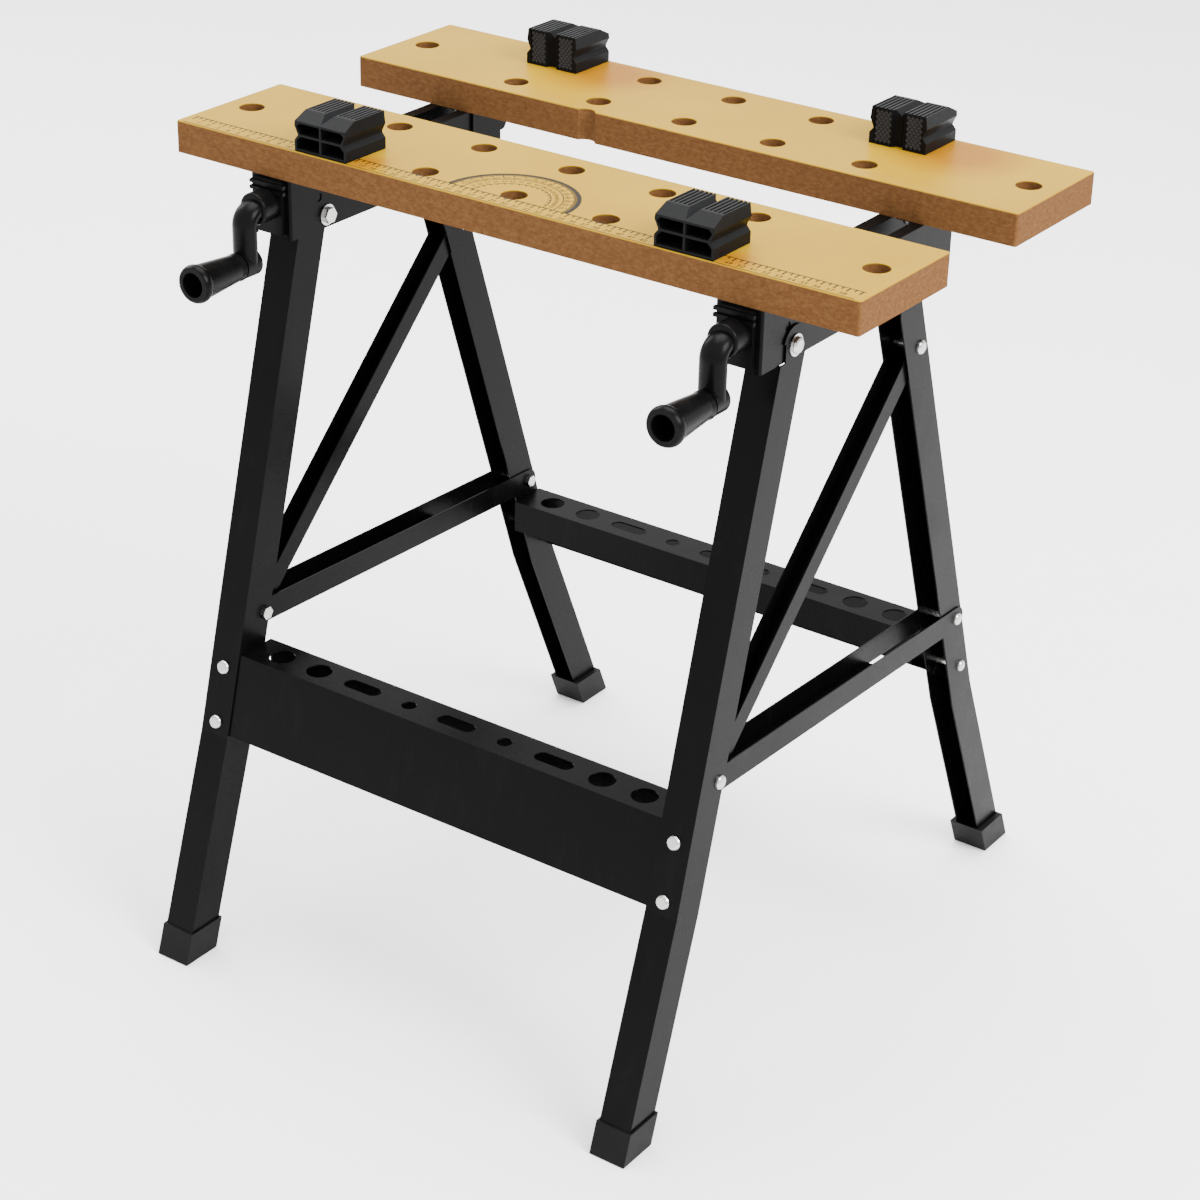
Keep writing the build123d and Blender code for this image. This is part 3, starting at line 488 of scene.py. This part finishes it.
def knurl(node, body, facing):
    """Rows of small pyramids that fill the recessed panels of a dog's grip face."""
    low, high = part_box(node)
    cx = (low[0] + high[0]) / 2
    face_y = high[1] if facing > 0 else low[1]
    half = (high[0] - low[0]) / 2
    back, front = face_y - facing * KNURL_BACK, face_y - facing * KNURL_TIP
    bag = Bag()
    z_a, z_b = TOP + PANEL_FOOT, high[2] - PANEL_HEAD
    for side in (-1, 1):
        x_a, x_b = sorted((cx + side * PANEL_NEAR, cx + side * (half - PANEL_MARGIN)))
        nx, nz = round((x_b - x_a) / KNURL_PITCH), round((z_b - z_a) / KNURL_PITCH)
        dx, dz = (x_b - x_a) / nx, (z_b - z_a) / nz
        cells = [(i + 0.5, j + 0.5) for i in range(nx) for j in range(nz)]
        cells += [(i, j) for i in range(1, nx) for j in range(1, nz)]
        for i, j in cells:
            x, z = x_a + i * dx, z_a + j * dz
            ring = [(x - dx / 2, back, z), (x, back, z - dz / 2)]
            ring += [(x + dx / 2, back, z), (x, back, z + dz / 2)]
            if facing > 0:
                ring.reverse()
            bag.pyramid(ring, (x, front, z))
    mesh_object(node + "_knurl", bag.v, bag.f, MATS["dog_knurl"], body)


knurl("front_left_dog", "dog_front_left", 1)
knurl("front_right_dog", "dog_front_right", 1)
knurl("rear_left_dog", "dog_rear_left", -1)
knurl("rear_right_dog", "dog_rear_right", -1)


# ---------------------------------------------------------------- studio
FLOOR_HALF = 14.0
FLOOR_GREYS = ((0.93, 0.93, 0.93), (0.95, 0.95, 0.95))
WORLD_STRENGTH = 2.3
LIGHTS = (
    ("key", (2.8, -0.2, 2.6), 1.8, 260.0),
    ("top", (-0.3, 0.5, 3.8), 2.6, 220.0),
    ("fill", (-2.6, 0.6, 2.0), 1.6, 60.0),
)
LIGHT_TARGET = Vector((0, 0, 0.35))


def pale_floor():
    me = bpy.data.meshes.new("floor")
    s = FLOOR_HALF
    me.from_pydata([(-s, -s, 0), (s, -s, 0), (s, s, 0), (-s, s, 0)], [], [(0, 1, 2, 3)])
    m = Mat("floor")
    f = m.noise(3, 3, 0.5)
    col = m.ramp(f, [(0.3, FLOOR_GREYS[0]), (0.7, FLOOR_GREYS[1])])
    me.materials.append(m.out(col, m.span(f, 0.85, 0.95, 0.3, 0.7)))
    floor = bpy.data.objects.new("floor", me)
    bpy.context.scene.collection.objects.link(floor)
    return floor


def white_world():
    world = bpy.data.worlds.new("world")
    world.use_nodes = True
    bg = world.node_tree.nodes["Background"]
    bg.inputs["Color"].default_value = (1.0, 1.0, 1.0, 1.0)
    bg.inputs["Strength"].default_value = WORLD_STRENGTH
    bpy.context.scene.world = world


def soft_light(name, place, size, power):
    """Square area light aimed at the middle of the bench."""
    d = bpy.data.lights.new(name, "AREA")
    d.size = size
    d.energy = power
    o = bpy.data.objects.new(name, d)
    o.location = place
    o.rotation_euler = (LIGHT_TARGET - Vector(place)).to_track_quat("-Z", "Y").to_euler()
    bpy.context.scene.collection.objects.link(o)
    return o


def studio():
    """Pale floor, even white surroundings and three soft lights."""
    floor = pale_floor()
    white_world()
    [soft_light(*light) for light in LIGHTS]


studio()
